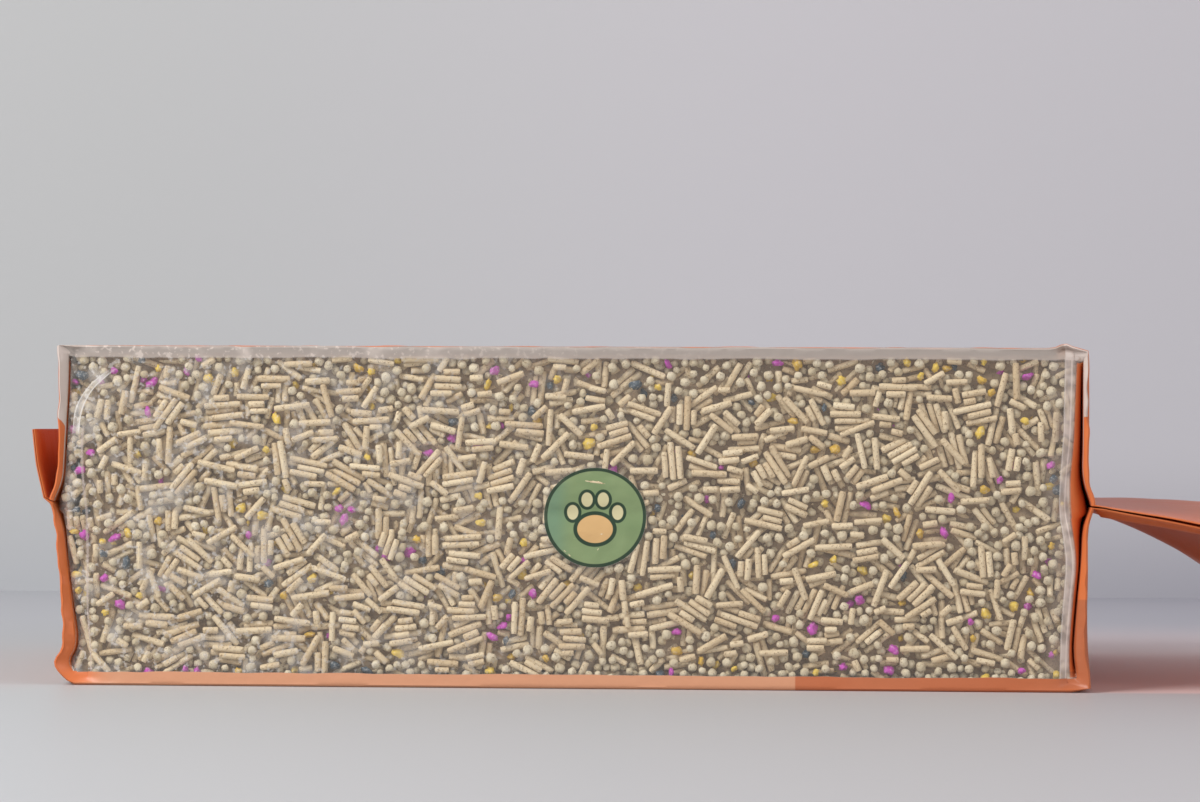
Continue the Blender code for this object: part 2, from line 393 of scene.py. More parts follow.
class Bed:
    """The grains behind one window, seen from the film: x along the bag, z up, depth inwards."""

    def __init__(self, seed):
        self.chance = np.random.default_rng(seed)
        self.start = np.stack([window_depth(bed_x, z) for z in bed_z], axis=1) + film_clearance
        self.depth = self.start.copy()
        self.open = self.start < pocket_start
        self.front = self.start + bed_depth_limit

    def footprint(self, x, z, turn, half_stretch, radius):
        """Cells under a grain, with its rounded half thickness and the place along it."""
        reach_x = abs(math.cos(turn)) * half_stretch + radius
        reach_z = abs(math.sin(turn)) * half_stretch + radius
        first_x = max(int((x - reach_x - bed_low_x) / cell), 0)
        last_x = min(int((x + reach_x - bed_low_x) / cell) + 2, len(bed_x))
        first_z = max(int((z - reach_z - bed_low_z) / cell), 0)
        last_z = min(int((z + reach_z - bed_low_z) / cell) + 2, len(bed_z))
        window = (slice(first_x, last_x), slice(first_z, last_z))
        dx = bed_x[window[0]][:, None] - x
        dz = bed_z[window[1]][None, :] - z
        lengthwise = dx * math.cos(turn) + dz * math.sin(turn)
        across = dz * math.cos(turn) - dx * math.sin(turn)
        if half_stretch > 0:
            inside = (np.abs(lengthwise) <= half_stretch) & (np.abs(across) < radius)
            half_thick = np.sqrt(np.maximum(radius**2 - across**2, 0))
        else:
            gap = radius**2 - lengthwise**2 - across**2
            inside = gap > 0
            half_thick = np.sqrt(np.maximum(gap, 0))
        return window, inside, half_thick, lengthwise

    def rest_depth(self, x, z, turn, tilt, half_stretch, radius):
        """Where a grain comes to rest, and how far that is behind the film."""
        window, inside, half_thick, lengthwise = self.footprint(x, z, turn, half_stretch, radius)
        if not inside.any():
            return 1.0, 1.0
        needed = self.depth[window] + half_thick - lengthwise * math.tan(tilt)
        depth = float(needed[inside].max())
        return depth, depth - float(self.start[window][inside].mean())

    def place(self, x, z, turn, tilt, half_stretch, radius, depth):
        window, inside, half_thick, lengthwise = self.footprint(x, z, turn, half_stretch, radius)
        middle = depth + lengthwise * math.tan(tilt)
        self.depth[window] = np.where(
            inside, np.maximum(self.depth[window], middle + half_thick), self.depth[window]
        )
        self.front[window] = np.where(
            inside, np.minimum(self.front[window], middle - half_thick), self.front[window]
        )

    def inside_bed(self, x, z, turn, half_stretch, radius):
        reach_x = abs(math.cos(turn)) * half_stretch + radius * 0.8
        reach_z = abs(math.sin(turn)) * half_stretch + radius * 0.8
        return (
            bed_low_x < x - reach_x and x + reach_x < bed_high_x
            and bed_low_z < z - reach_z and z + reach_z < bed_high_z
        )

    def shallow_spots(self, count, among):
        """Random places, of which the ones with the least depth so far are kept."""
        picks_x = self.chance.integers(0, len(bed_x), among)
        picks_z = self.chance.integers(0, len(bed_z), among)
        filled = np.where(self.open, self.depth - self.start, 1.0)
        order = np.argsort(filled[picks_x, picks_z])[:count]
        return [(bed_x[picks_x[i]], bed_z[picks_z[i]]) for i in order]


print(f"depth map of {len(bed_x)} by {len(bed_z)} cells")

# %% [markdown]
# The mix of grains changes over the bag. Near the top end and low down there are more small
# balls, elsewhere the pressed rods lead. A few dyed crumbs are scattered everywhere.

# %% Filling a window with grains
rod_radius = 0.00100
rod_half_shortest, rod_half_longest = 0.0016, 0.0055
ball_radius = 0.00142
crumb_smallest, crumb_largest = 0.0013, 0.0020
crumb_share, crumb_share_lost = 0.100, 0.06
side_by_side_share = 0.34

# A grain may lean a little, and more where the window turns in at its ends
small_lean, steep_lean, steep_zone = 0.16, 0.45, 0.006


def ball_share(x, z):
    """Share of balls among the grains: more towards the top end and the lower edge."""
    lengthwise = (x + half_length) / (2 * half_length)
    low = 1 - z / bag_height
    return 0.20 + 0.50 * max(lengthwise, 0) ** 2.2 * (0.45 + 0.75 * low)


def settle(bed, kind, tries, half_stretch, radius, angles):
    """Tries places for one grain and keeps the one nearest to the film."""
    best = None
    for x, z in tries:
        for turn in angles(bed):
            if not bed.inside_bed(x, z, turn, half_stretch, radius):
                continue
            lean = steep_lean if abs(x) > half_length - steep_zone else small_lean
            for tilt in (0.0, -lean, lean) if half_stretch > 0 else (0.0,):
                depth, behind = bed.rest_depth(x, z, turn, tilt, half_stretch, radius)
                if best is None or behind < best[0]:
                    best = (behind, depth, x, z, turn, tilt)
    if best is None or best[0] - radius > bed_depth_limit:
        return None
    _, depth, x, z, turn, tilt = best
    bed.place(x, z, turn, tilt, half_stretch, radius, depth)
    return (kind, x, z, depth, turn, tilt, half_stretch, radius)


def three_turns(bed):
    turn = bed.chance.uniform(0, math.pi)
    return (turn, turn + math.pi / 3, turn + 2 * math.pi / 3)


def one_turn(bed):
    return (bed.chance.uniform(0, math.pi),)


def beside(bed, grain, radius):
    """Places at both sides of a rod that already lies, for a rod that settles against it."""
    _, x, z, _, turn, _, half_stretch, other_radius = grain
    gap = (radius + other_radius) * 1.01
    shift = bed.chance.uniform(-0.5, 0.5) * half_stretch
    return [
        (
            x - math.sin(turn) * gap * side + math.cos(turn) * shift,
            z + math.cos(turn) * gap * side + math.sin(turn) * shift,
        )
        for side in (-1, 1)
    ]


def fill_window(seed, grain_count):
    """Packs one window. Later grains are smaller, because they fill the gaps that are left."""
    bed = Bed(seed)
    chance = bed.chance
    grains = []
    last_rod = None
    for index in range(grain_count):
        late = index / grain_count
        spots = bed.shallow_spots(6, 120 if late > 0.3 else 36)
        x, z = spots[0]
        draw = chance.random()
        if draw < crumb_share - crumb_share_lost * late:
            radius = chance.uniform(crumb_smallest, crumb_largest)
            grain = settle(bed, "crumb", spots, 0.0, radius, one_turn)
        elif chance.random() < ball_share(x, z) + 0.25 * late:
            radius = ball_radius * chance.uniform(0.84 - 0.16 * late, 1.12)
            grain = settle(bed, "ball", spots, 0.0, radius, one_turn)
        else:
            longest = rod_half_longest if late < 0.4 else 0.65 * rod_half_longest
            half_stretch = chance.uniform(rod_half_shortest, longest)
            radius = rod_radius * chance.uniform(0.90, 1.08)
            if last_rod is not None and chance.random() < side_by_side_share:
                turn = last_rod[4] + chance.normal(0, 0.05)
                tries = beside(bed, last_rod, radius)
                grain = settle(bed, "rod", tries, half_stretch, radius, lambda _, turn=turn: (turn,))
                if grain is not None and grain[3] > last_rod[3] + radius:
                    last_rod = None
            else:
                grain = settle(bed, "rod", spots, half_stretch, radius, three_turns)
        if grain is not None:
            grains.append(grain)
            if grain[0] == "rod":
                last_rod = grain
    return bed, grains


grain_total = 5400
near_bed, near_grains = fill_window(5, grain_total)
far_bed, far_grains = fill_window(9, grain_total)
for kind in ("rod", "ball", "crumb"):
    print(kind, sum(grain[0] == kind for grain in near_grains), "behind the near window")
behind_film = near_bed.front - near_bed.start
covered = float((behind_film < bed_depth_limit - 0.0001)[near_bed.open].mean())
print(f"near window covered {covered:.3f}, mean depth {behind_film.mean() * 1000:.2f} mm")

# %% [markdown]
# ## One rod, one ball, one crumb
#
# A rod is pressed through a die and snapped off, so it is a cylinder with a crisp, slightly
# broken edge. A ball is rolled and lumpy. A crumb is a broken flake. Each is modelled once.

# %% Model the three grains
def model_rod():
    deselect_all()
    bpy.ops.mesh.primitive_cylinder_add(vertices=8, radius=0.97, depth=2, end_fill_type="NGON")
    rod = named("rod_pattern")
    bpy.ops.object.mode_set(mode="EDIT")
    bpy.ops.mesh.select_mode(type="EDGE")
    bpy.ops.mesh.select_all(action="DESELECT")
    bpy.ops.object.mode_set(mode="OBJECT")
    for edge in rod.data.edges:
        heights = [rod.data.vertices[i].co.z for i in edge.vertices]
        edge.select = abs(heights[0] - heights[1]) < 0.1
    bpy.ops.object.mode_set(mode="EDIT")
    bpy.ops.mesh.bevel(offset=0.16, segments=1)
    bpy.ops.mesh.select_all(action="SELECT")
    bpy.ops.mesh.bisect(plane_co=(0, 0, 0), plane_no=(0, 0, 1))
    bpy.ops.object.mode_set(mode="OBJECT")
    return rod


def model_ball():
    deselect_all()
    bpy.ops.mesh.primitive_ico_sphere_add(subdivisions=2, radius=1)
    ball = named("ball_pattern")
    bpy.ops.object.mode_set(mode="EDIT")
    bpy.ops.transform.vertex_random(offset=0.12, uniform=0.0, normal=1.0, seed=3)
    bpy.ops.object.mode_set(mode="OBJECT")
    return ball


def model_crumb():
    deselect_all()
    bpy.ops.mesh.primitive_ico_sphere_add(subdivisions=2, radius=1)
    crumb = named("crumb_pattern")
    bpy.ops.object.mode_set(mode="EDIT")
    bpy.ops.transform.resize(value=(1.0, 0.62, 0.8))
    bpy.ops.transform.vertex_random(offset=0.30, uniform=0.3, normal=0.3, seed=8)
    bpy.ops.object.mode_set(mode="OBJECT")
    return crumb


patterns = {"rod": model_rod(), "ball": model_ball(), "crumb": model_crumb()}
shapes = {kind: (mesh_points(piece), mesh_faces(piece)) for kind, piece in patterns.items()}
for kind, piece in patterns.items():
    print(kind, "pattern:", len(piece.data.vertices), "points,", len(piece.data.polygons), "faces")
    bpy.data.objects.remove(piece, do_unlink=True)

# %% [markdown]
# ## All the grains of a window
#
# Each grain is a copy of its pattern, scaled, bent a little, turned and put in its place. They
# are gathered in one mesh for each kind. A colour attribute gives each grain a tone of its own.

# %% Gather the grains in meshes
crumb_dyes = (linear(196, 66, 178), linear(196, 66, 178), linear(232, 196, 70), linear(232, 196, 70),
              linear(214, 172, 52), linear(58, 76, 88))


def grain_points(grain, base, chance):
    """The points of one grain, in the window's own space: x along, y inwards, z up."""
    kind, x, z, depth, turn, tilt, half_stretch, radius = grain
    points = base.copy()
    if kind == "rod":
        points[:, :2] *= radius
        points[:, 2] *= half_stretch
        bend = chance.uniform(-0.05, 0.05) * radius / 0.001
        points[:, 0] += bend * (points[:, 2] ** 2 - half_stretch**2) / half_stretch
        points[:, 1] *= chance.uniform(0.93, 1.0)
        direction = Vector((math.cos(turn), math.tan(tilt), math.sin(turn)))
        place = direction.to_track_quat("Z", "Y").to_matrix()
        points = points @ np.array(place).T
    else:
        squeeze = chance.uniform(0.84, 1.06, 3) if kind == "ball" else chance.uniform(0.7, 1.15, 3)
        spin = Matrix.Rotation(turn * 2, 3, "X") @ Matrix.Rotation(chance.uniform(0, 6.28), 3, "Z")
        points = (points * squeeze * radius) @ np.array(spin).T
    return points + np.array((x, depth, z))


def gather(name, grains, kind, side, seed):
    """One mesh of all the grains of a kind. The far window's grains are turned half round."""
    chance = np.random.default_rng(seed)
    base, faces = shapes[kind]
    chosen = [grain for grain in grains if grain[0] == kind]
    points, tones = [], []
    for grain in chosen:
        placed = grain_points(grain, base, chance)
        placed[:, 1] -= half_width
        points.append(placed)
        tone = float(np.clip(chance.normal(0.5, 0.22), 0, 1))
        if kind == "crumb":
            tones.append(crumb_dyes[chance.integers(len(crumb_dyes))])
        else:
            tones.append((tone, chance.random(), 0.0))
    cloud = np.concatenate(points)
    if side == FAR:
        cloud[:, :2] *= -1
    loops = np.array([index for face in faces for index in face])
    sizes = np.array([len(face) for face in faces])
    starts = np.concatenate([[0], np.cumsum(sizes)[:-1]])
    count = len(chosen)
    all_loops = (loops[None, :] + np.arange(count)[:, None] * len(base)).ravel()
    all_starts = (starts[None, :] + np.arange(count)[:, None] * len(loops)).ravel()
    mesh = bpy.data.meshes.new(name)
    mesh.vertices.add(len(cloud))
    mesh.vertices.foreach_set("co", cloud.ravel())
    mesh.loops.add(len(all_loops))
    mesh.loops.foreach_set("vertex_index", all_loops)
    mesh.polygons.add(len(all_starts))
    mesh.polygons.foreach_set("loop_start", all_starts)
    mesh.update(calc_edges=True)
    mesh.validate()
    attribute = mesh.color_attributes.new("grain_tone", "FLOAT_COLOR", "POINT")
    values = np.ones((len(cloud), 4))
    values[:, :3] = np.repeat(np.array(tones), len(base), axis=0)
    attribute.data.foreach_set("color", values.ravel())
    piece = bpy.data.objects.new(name, mesh)
    bpy.context.scene.collection.objects.link(piece)
    if kind != "crumb":
        mesh.shade_smooth()
    if kind == "rod":
        mesh.set_sharp_from_angle(angle=math.radians(50))
    return piece


grain_pieces = {}
for window_name, grains, side, seed in (("near", near_grains, NEAR, 21), ("far", far_grains, FAR, 22)):
    for kind in ("rod", "ball", "crumb"):
        piece = gather(f"{window_name}_{kind}s", grains, kind, side, seed)
        grain_pieces[piece.name] = piece
        print(piece.name, len(piece.data.polygons), "faces")

# %% [markdown]
# ## The core of the litter
#
# Behind the visible grains the bag is full. A rough block stands for the rest, so that no gap
# between grains shows an empty bag. It starts as a cube, is cut finer and roughened.

# %% Model the core
core_end_gap, core_panel_gap = 0.001, 0.0024
core_depth = bed_depth_limit + 0.0004
core_bulge, core_bulge_width = 0.0024, 0.96


def model_core():
    """The block's bottom end is drawn out a little, to follow the bag's."""
    deselect_all()
    bpy.ops.mesh.primitive_cube_add(size=1, location=(0, 0, bag_height / 2))
    core = named("litter_core")
    core.scale = (
        2 * (half_length - core_end_gap),
        2 * (half_width - core_depth),
        bag_height - 2 * core_panel_gap,
    )
    apply_place(core)
    bpy.ops.object.mode_set(mode="EDIT")
    bpy.ops.mesh.select_all(action="SELECT")
    bpy.ops.mesh.subdivide(number_cuts=60)
    bpy.ops.transform.vertex_random(offset=0.0005, uniform=0.0, normal=1.0, seed=4)
    bpy.ops.mesh.select_all(action="DESELECT")
    bpy.ops.object.mode_set(mode="OBJECT")
    for point in core.data.vertices:
        point.select = point.co.x < -half_length
    bpy.ops.object.mode_set(mode="EDIT")
    end_middle = (-half_length, 0, bag_height / 2)
    bpy.ops.transform.resize(value=(1, core_bulge_width, 1), center_override=end_middle)
    bpy.ops.transform.translate(value=(-core_bulge, 0, 0))
    bpy.ops.object.mode_set(mode="OBJECT")
    return core


core = model_core()
print("core:", len(core.data.polygons), "faces")

# %% [markdown]
# ## The film, folded from a flat web
#
# The real bag starts as a flat printed web. So does this one: a grid whose columns run along the
# web and whose rows run around the bag. Each point is then folded into its place by rule, in five
# stretches: bottom fin, bottom end, body, top end, top fin. On an end face the gusset follows the
# end panel inwards up to the diagonal fold, and comes back behind it. The flat web's own
# coordinates stay on the mesh as its UV map, and the print is laid out in them.

# %% Rows and columns of the web
tuck_steps = 38
body_stations = 178
top_fin_stations = 34
bottom_fin_stations = 14

# Distances from a panel's middle line, closer together near its side edge
wide_columns_end, close_columns_start = half_width - 0.014, half_width - 0.011
panel_columns = np.concatenate(
    [np.linspace(0, wide_columns_end, 9), np.linspace(close_columns_start, half_width - edge_radius, 6)]
)

# How far the rounded long edge has turned at each of its own columns
corner_turns = np.radians((30, 62))
gusset_shares = np.linspace(0, 1, tuck_steps + 1)
quarter_size = len(panel_columns) + len(corner_turns) + len(gusset_shares)
print("points in a quarter ring:", quarter_size)

# %% [markdown]
# The ends are the most characterful part. From their side edges the end panels bulge a little,
# and small soft waves run over them, because the grains press from inside.

# %% Shape of the ends
# The bottom fin from its seal to its edge: (distance, reach beyond the body's end, height)
bottom_fin_profile = ((0.0, 0.0077, 0.0525), (0.0014, 0.0087, 0.0535), (0.0110, 0.0109, 0.0630),
                      (0.0215, 0.0123, 0.0732))
edge_band = 0.030
seal_bulge, seal_bulge_height = 0.0018, 0.012


# Small waves of the film: (height, length, seed of their chance)
panel_wave = (0.00035, 0.035, 41)
long_edge_wave = (0.00025, 0.02, 43)
end_wave = (0.0004, 0.03, 31)
end_ripple = (0.00035, 0.022, 51)
side_edge_ripple = (0.0003, 0.011, 61)
bottom_fin_wave = (0.0005, 0.05, 71)
top_fin_wave = (0.0004, 0.06, 73)
sine_count, sine_total = 7, 3.2


def wave(kind, x, y, variant=0):
    """Soft random waves, summed from a few sines with random directions."""
    height, wave_length, seed = kind
    chance = np.random.default_rng(seed + variant)
    total = np.zeros(np.broadcast(x, y).shape)
    for _ in range(sine_count):
        direction = chance.uniform(0, 2 * math.pi)
        frequency = 2 * math.pi / wave_length * chance.uniform(0.5, 1.8)
        phase = chance.uniform(0, 2 * math.pi)
        total = total + np.sin((x * math.cos(direction) + y * math.sin(direction)) * frequency + phase)
    return height * total / sine_total


def edge_weight(y):
    """1 at a panel's side edge and 0 from 30 mm inwards."""
    return np.clip((np.abs(y) - (half_width - edge_band)) / edge_band, 0, 1) ** 2


def end_reach_at(end, half, z, y):
    """How far an end panel stands beyond the nominal crease, at a height and a place across."""
    middle = end_reach + wave(end_wave, y, z, end)
    share = edge_weight(y)
    near_seal = np.clip(1 - np.abs(z - seal_height) / seal_bulge_height, 0, 1) ** 2 * seal_bulge
    return (middle + near_seal) * (1 - share) + along(end_edge[(end, half)], z) * share


print("reach of the bottom end's ear:", round(float(end_reach_at(BOTTOM, LOWER, 0.0048, half_width)), 4))

# %% [markdown]
# Each function below returns one quarter of a ring, from the middle of a panel, over the long
# edge, to the crease in the middle of the gusset. A ring is two such quarters and their mirror
# images, so both sides of the bag fold alike, and only their small waves differ.

# %% Fold the body and the ends
film_dip_limit = 0.00042
dip_end_fade, dip_edge, dip_edge_fade = 0.004, 0.003, 0.002


def relief_of(bed):
    """How the film dips between the grains: it spans small gaps and follows bigger ones."""
    dip = np.clip(bed.front - bed.start, 0, film_dip_limit)
    for _ in range(3):
        dip = (dip + np.roll(dip, 1, 0) + np.roll(dip, -1, 0) + np.roll(dip, 1, 1) + np.roll(dip, -1, 1)) / 5
    return dip


relief = {NEAR: relief_of(near_bed), FAR: relief_of(far_bed)}


def film_dip(side, x, z):
    """The film's dip at places on a window. The far window's grains lie turned half round."""
    x = -x if side == FAR else x
    column = np.clip(((x - bed_low_x) / cell).astype(int), 0, len(bed_x) - 1)
    row = np.clip(((z - bed_low_z) / cell).astype(int), 0, len(bed_z) - 1)
    end_fade = np.clip((half_length - np.abs(x)) / dip_end_fade, 0, 1)
    low_fade = np.clip((z - dip_edge) / dip_edge_fade, 0, 1)
    high_fade = np.clip((bag_height - dip_edge - z) / dip_edge_fade, 0, 1)
    return relief[side][column, row] * end_fade * low_fade * high_fade


# Where the film's upper corners stand up or dip: (place beyond the crease, width, height)
corner_waves = {
    BOTTOM: ((0.0042, 0.0024, 0.0012),),
    TOP: ((-0.0020, 0.0022, 0.0013), (0.0024, 0.0011, -0.0014), (0.0050, 0.0009, 0.0006)),
}
corner_peak_width, corner_peak_fade = 0.010, 0.002

# The upper panel lies this much under its nominal height, so that its waves stay below that
panel_sink = 0.0004

# Distance over which the end crease's own line fades into the body
crease_fade = 0.008

# Distance over which an end panel's side edge rounds over into its lip, and the edge's own steps
lip_turn = 0.0009
side_edge_step, least_inset = 0.0003, 0.0005

# Half the gap between the films at the seal, outside and between the inner layers
seal_half_gap, inner_half_gap = 0.0006, 0.0002

# The long edges stand out in a bead: how far, at which height from the panel, and how wide
bead, bead_place, bead_width = 0.0007, 0.0016, 0.0009


def corner_peak(end, beyond, y):
    """The upper corners are pulled up a little, and the film dips between."""
    near_side = np.clip(1 - (half_width - np.abs(y)) / corner_peak_width, 0, 1) ** 2
    return near_side * sum(
        height * np.exp(-(((beyond - place) / width) ** 2)) for place, width, height in corner_waves[end]
    )


def body_quarter(x, half, side):
    """Panel, rounded long edge and gusset at one place along the body."""
    columns = panel_columns
    end = BOTTOM if x < 0 else TOP
    panel_z = bag_height if half == UPPER else 0.0
    top = np.full(len(columns), panel_z)
    if half == UPPER:
        waves = np.minimum(wave(panel_wave, x, side * columns), panel_sink)
        top = top + waves - panel_sink + corner_peak(end, abs(x) - half_length, columns)
    edge_wave = wave(long_edge_wave, np.array([x]), np.array([side * 0.3]), half)[0]
    corner_y = half_width - edge_radius * (1 - np.sin(corner_turns))
    corner_z = edge_radius * (1 - np.cos(corner_turns))
    z_edge = edge_radius + abs(edge_wave)
    half_height = crease_height if half == LOWER else bag_height - crease_height
    gusset_z = z_edge + gusset_shares * (half_height - z_edge)
    if half == UPPER:
        corner_z, gusset_z = bag_height - corner_z, bag_height - gusset_z
        lift = corner_peak(end, abs(x) - half_length, half_width)
        corner_z = corner_z + lift
        gusset_z = gusset_z + lift * np.exp(-gusset_shares * tuck_depth / corner_peak_fade)
    fade = np.exp((abs(x) - half_length) / crease_fade)
    shift = along(end_crease[end], gusset_z) - soft_ramp(np.zeros(1), corner_softness)
    gusset_x = x + end * shift * fade
    depth = np.array([window_depth(gusset_x[i : i + 1], z)[0] for i, z in enumerate(gusset_z)])
    depth += film_dip(side, gusset_x, gusset_z)
    depth -= bead * np.exp(-((np.abs(gusset_z - panel_z) - bead_place) / bead_width) ** 2)
    points = np.zeros((quarter_size, 3))
    points[:, 0] = x
    points[: len(columns), 1:] = np.stack([columns, top], 1)
    points[len(columns) : len(columns) + 2, 1:] = np.stack([corner_y, corner_z], 1)
    points[len(columns) + 2 :] = np.stack([gusset_x, half_width - depth, gusset_z], 1)
    points[:, 1] *= side
    return points


def end_quarter(end, station, half, side):
    """One height of an end face: end panel, its side edge, and the gusset folded behind it."""
    share = station / tuck_steps
    fold = edge_radius if half == LOWER else bag_height - edge_radius
    at_seal = station == tuck_steps
    z = seal_height + half * seal_half_gap if at_seal else fold + share * (seal_height - fold)
    layer_z = seal_height + half * inner_half_gap if at_seal else z
    columns = panel_columns
    reach = end_reach_at(end, half, z, side * columns)
    reach = reach + wave(end_ripple, columns * side, np.full(len(columns), z), end) * (1 - share)
    edge_ripple = wave(side_edge_ripple, np.array([z]), np.array([side * 0.2]), end)
    edge_reach = float(end_reach_at(end, half, z, half_width)) + float(edge_ripple[0])
    points = np.zeros((quarter_size, 3))
    points[: len(columns)] = np.stack([reach, columns, np.full(len(columns), z)], 1)
    size = len(columns)
    points[size] = (edge_reach, half_width - side_edge_step, z)
    points[size + 1] = (edge_reach - double_film * 0.6, half_width, (z + layer_z) / 2)
    inward = tuck_depth * gusset_shares
    lip = along(lip_width[(end, half)], z) * (1 - np.exp(-inward / lip_turn)) * (1 - share**8)
    layer_reach = end_reach_at(end, half, z, half_width) - lip - double_film
    middle = crease_height + share * (seal_height - crease_height)
    gusset_z = fold + gusset_shares * (middle - fold)
    depth = tuck_depth * share
    tucked = gusset_shares > share + 1e-9
    curve = [tuck_curve(end, at, np.array([depth])) for at in gusset_z]
    back_x = np.array([reach[0] for reach, _ in curve])
    flat_part = np.array([window_depth(np.zeros(1), at)[0] for at in gusset_z])
    back_depth = curve[0][1][0] + flat_part * (1 - share)
    gusset_x = np.where(tucked, back_x, layer_reach)
    gusset_y = half_width - np.where(tucked, back_depth, np.maximum(inward, least_inset))
    front_z = np.where(gusset_shares == 1, seal_height, layer_z) if at_seal else layer_z
    points[size + 2 :] = np.stack([gusset_x, gusset_y, np.where(tucked, gusset_z, front_z)], 1)
    if half == UPPER:
        points[:, 2] += corner_peak(end, points[:, 0], points[:, 1]) * (1 - share) ** 20
    points[:, 0] = end * (half_length + points[:, 0])
    points[:, 1] *= side
    return points


# %% [markdown]
# A fin is two films that meet. Its side edges show them as two thin bands with a dark line
# between. The bottom fin is folded up. The top fin sticks out, its sides sag more than its
# middle, and the far side sags most, because nothing holds it.

# %% Fold the fins
bottom_fin_thickness = 0.0010
top_fin_thickness, top_fin_swell = 0.0011, 0.0006
groove_depth, groove_wall = 0.0040, 0.0004
fin_edge_step, fin_edge_rounding = 0.0004, 0.0002

# The way each fin runs, as (away from the body, up), and the last stretch of the bottom one
bottom_fin_end_direction, bottom_fin_end = (0.14, 0.99), 0.0015
top_fin_direction, top_fin_reach = (1.0, -0.15), 0.99

# The far side hangs in a curve: its share of straight slope, and the rest bends
far_slope = 0.42

# A soft swelling along the side edges of the top fin's underside
underside_swell, swell_place, swell_width = 0.0022, 0.008, 0.005


def fin_section(end, place, half, side):
    """One quarter of a fin's section at a distance from the seal."""
    columns = np.concatenate([panel_columns, [half_width - fin_edge_step, half_width]])
    y = side * columns
    across = np.full(len(y), place)
    if end == BOTTOM:
        places, reaches, heights = zip(*bottom_fin_profile)
        reach = np.interp(place, places, reaches)
        z = np.interp(place, places, heights)
        further = place + 0.001
        ahead = (np.interp(further, places, reaches) - reach, np.interp(further, places, heights) - z)
        if place > bottom_fin_length - bottom_fin_end:
            ahead = bottom_fin_end_direction
        reach = reach + wave(bottom_fin_wave, y, across) * (place / bottom_fin_length)
        z = np.full(len(y), z)
        thick = bottom_fin_thickness
    else:
        near_side = np.clip(-y / half_width, 0, 1) ** 2
        far_side = np.clip(y / half_width, 0, 1) ** 2
        share = place / top_fin_length
        drop = middle_sag * share**2 + near_side * near_edge_sag * share
        drop = drop + far_side * far_edge_sag * (far_slope * share + (1 - far_slope) * share**2)
        drop = drop + wave(top_fin_wave, y, across) * min(4 * share, 1)
        reach = end_edge[(TOP, UPPER)][0][1] + place * top_fin_reach
        z = seal_height - drop
        ahead = top_fin_direction
        thick = top_fin_thickness + top_fin_swell * math.sin(math.pi * min(share, 1))
    length = math.hypot(*ahead)
    normal = np.array((-ahead[1], ahead[0])) / length * half
    points = np.zeros((quarter_size, 3))
    size = len(columns)
    lift = np.full(size, thick / 2)
    if half == LOWER and end == TOP:
        from_edge = half_width - columns
        lift = lift + underside_swell * np.exp(-(((from_edge - swell_place) / swell_width) ** 2))
    lift[-1] = thick / 2 - fin_edge_rounding
    points[:size, 0] = reach + normal[0] * lift
    points[:size, 1] = y
    points[:size, 2] = z + normal[1] * lift
    groove = groove_depth * gusset_shares
    inner_lift = np.maximum(thick / 2 - groove_wall, 0.0001) * (1 - gusset_shares)
    edge_reach = reach[-1] if np.ndim(reach) else reach
    points[size:, 0] = edge_reach + normal[0] * inner_lift
    points[size:, 1] = side * (half_width - groove)
    points[size:, 2] = z[-1] + normal[1] * inner_lift
    points[:, 0] = end * (half_length + points[:, 0])
    return points


def stations():
    """Every ring along the web: (distance along the web, function that folds one quarter)."""
    crease = half_length + end_reach
    seal = crease + tuck_depth
    bottom_places = np.linspace(0, bottom_fin_length, bottom_fin_stations + 1)[:0:-1]
    top_places = np.linspace(0, top_fin_length, top_fin_stations + 1)[1:]
    steps = range(tuck_steps + 1)
    rings = [(-seal - place, partial(fin_section, BOTTOM, place)) for place in bottom_places]
    for step in reversed(steps):
        rings.append((-crease - tuck_depth * step / tuck_steps, partial(end_quarter, BOTTOM, step)))
    for x in np.linspace(-half_length, half_length, body_stations):
        rings.append((x, partial(body_quarter, x)))
    for step in steps:
        rings.append((crease + tuck_depth * step / tuck_steps, partial(end_quarter, TOP, step)))
    rings.extend((seal + place, partial(fin_section, TOP, place)) for place in top_places)
    return rings


# %% [markdown]
# Going around, the web starts at the middle of the back panel, runs over the near gusset and the
# front panel, and comes back over the far gusset. The real web's long seam is there too. The
# distance around is kept as well, because the print is placed by it.

# %% Lay the web out and fold it
half_panel_around = np.concatenate([panel_columns, [half_width - 0.0006, half_width - 0.0002]])
quarter_around = np.concatenate([half_panel_around, half_width + gusset_shares * bag_height / 2])
half_around = half_width + bag_height / 2
web_around = np.concatenate(
    [
        quarter_around,
        2 * half_around - quarter_around[-2::-1],
        (2 * half_around + quarter_around)[1:],
        (4 * half_around - quarter_around[-2::-1]),
    ]
)
around_total = 4 * half_around


def whole_ring(fold):
    """The near lower, near upper, far upper and far lower quarters, joined in web order."""
    return np.concatenate(
        [fold(LOWER, NEAR), fold(UPPER, NEAR)[-2::-1], fold(UPPER, FAR)[1:], fold(LOWER, FAR)[-2::-1]]
    )


rings = stations()
along_low, along_high = rings[0][0], rings[-1][0]
web_points = np.stack([whole_ring(fold) for _, fold in rings])
print("web of", web_points.shape[0], "by", web_points.shape[1], "points")


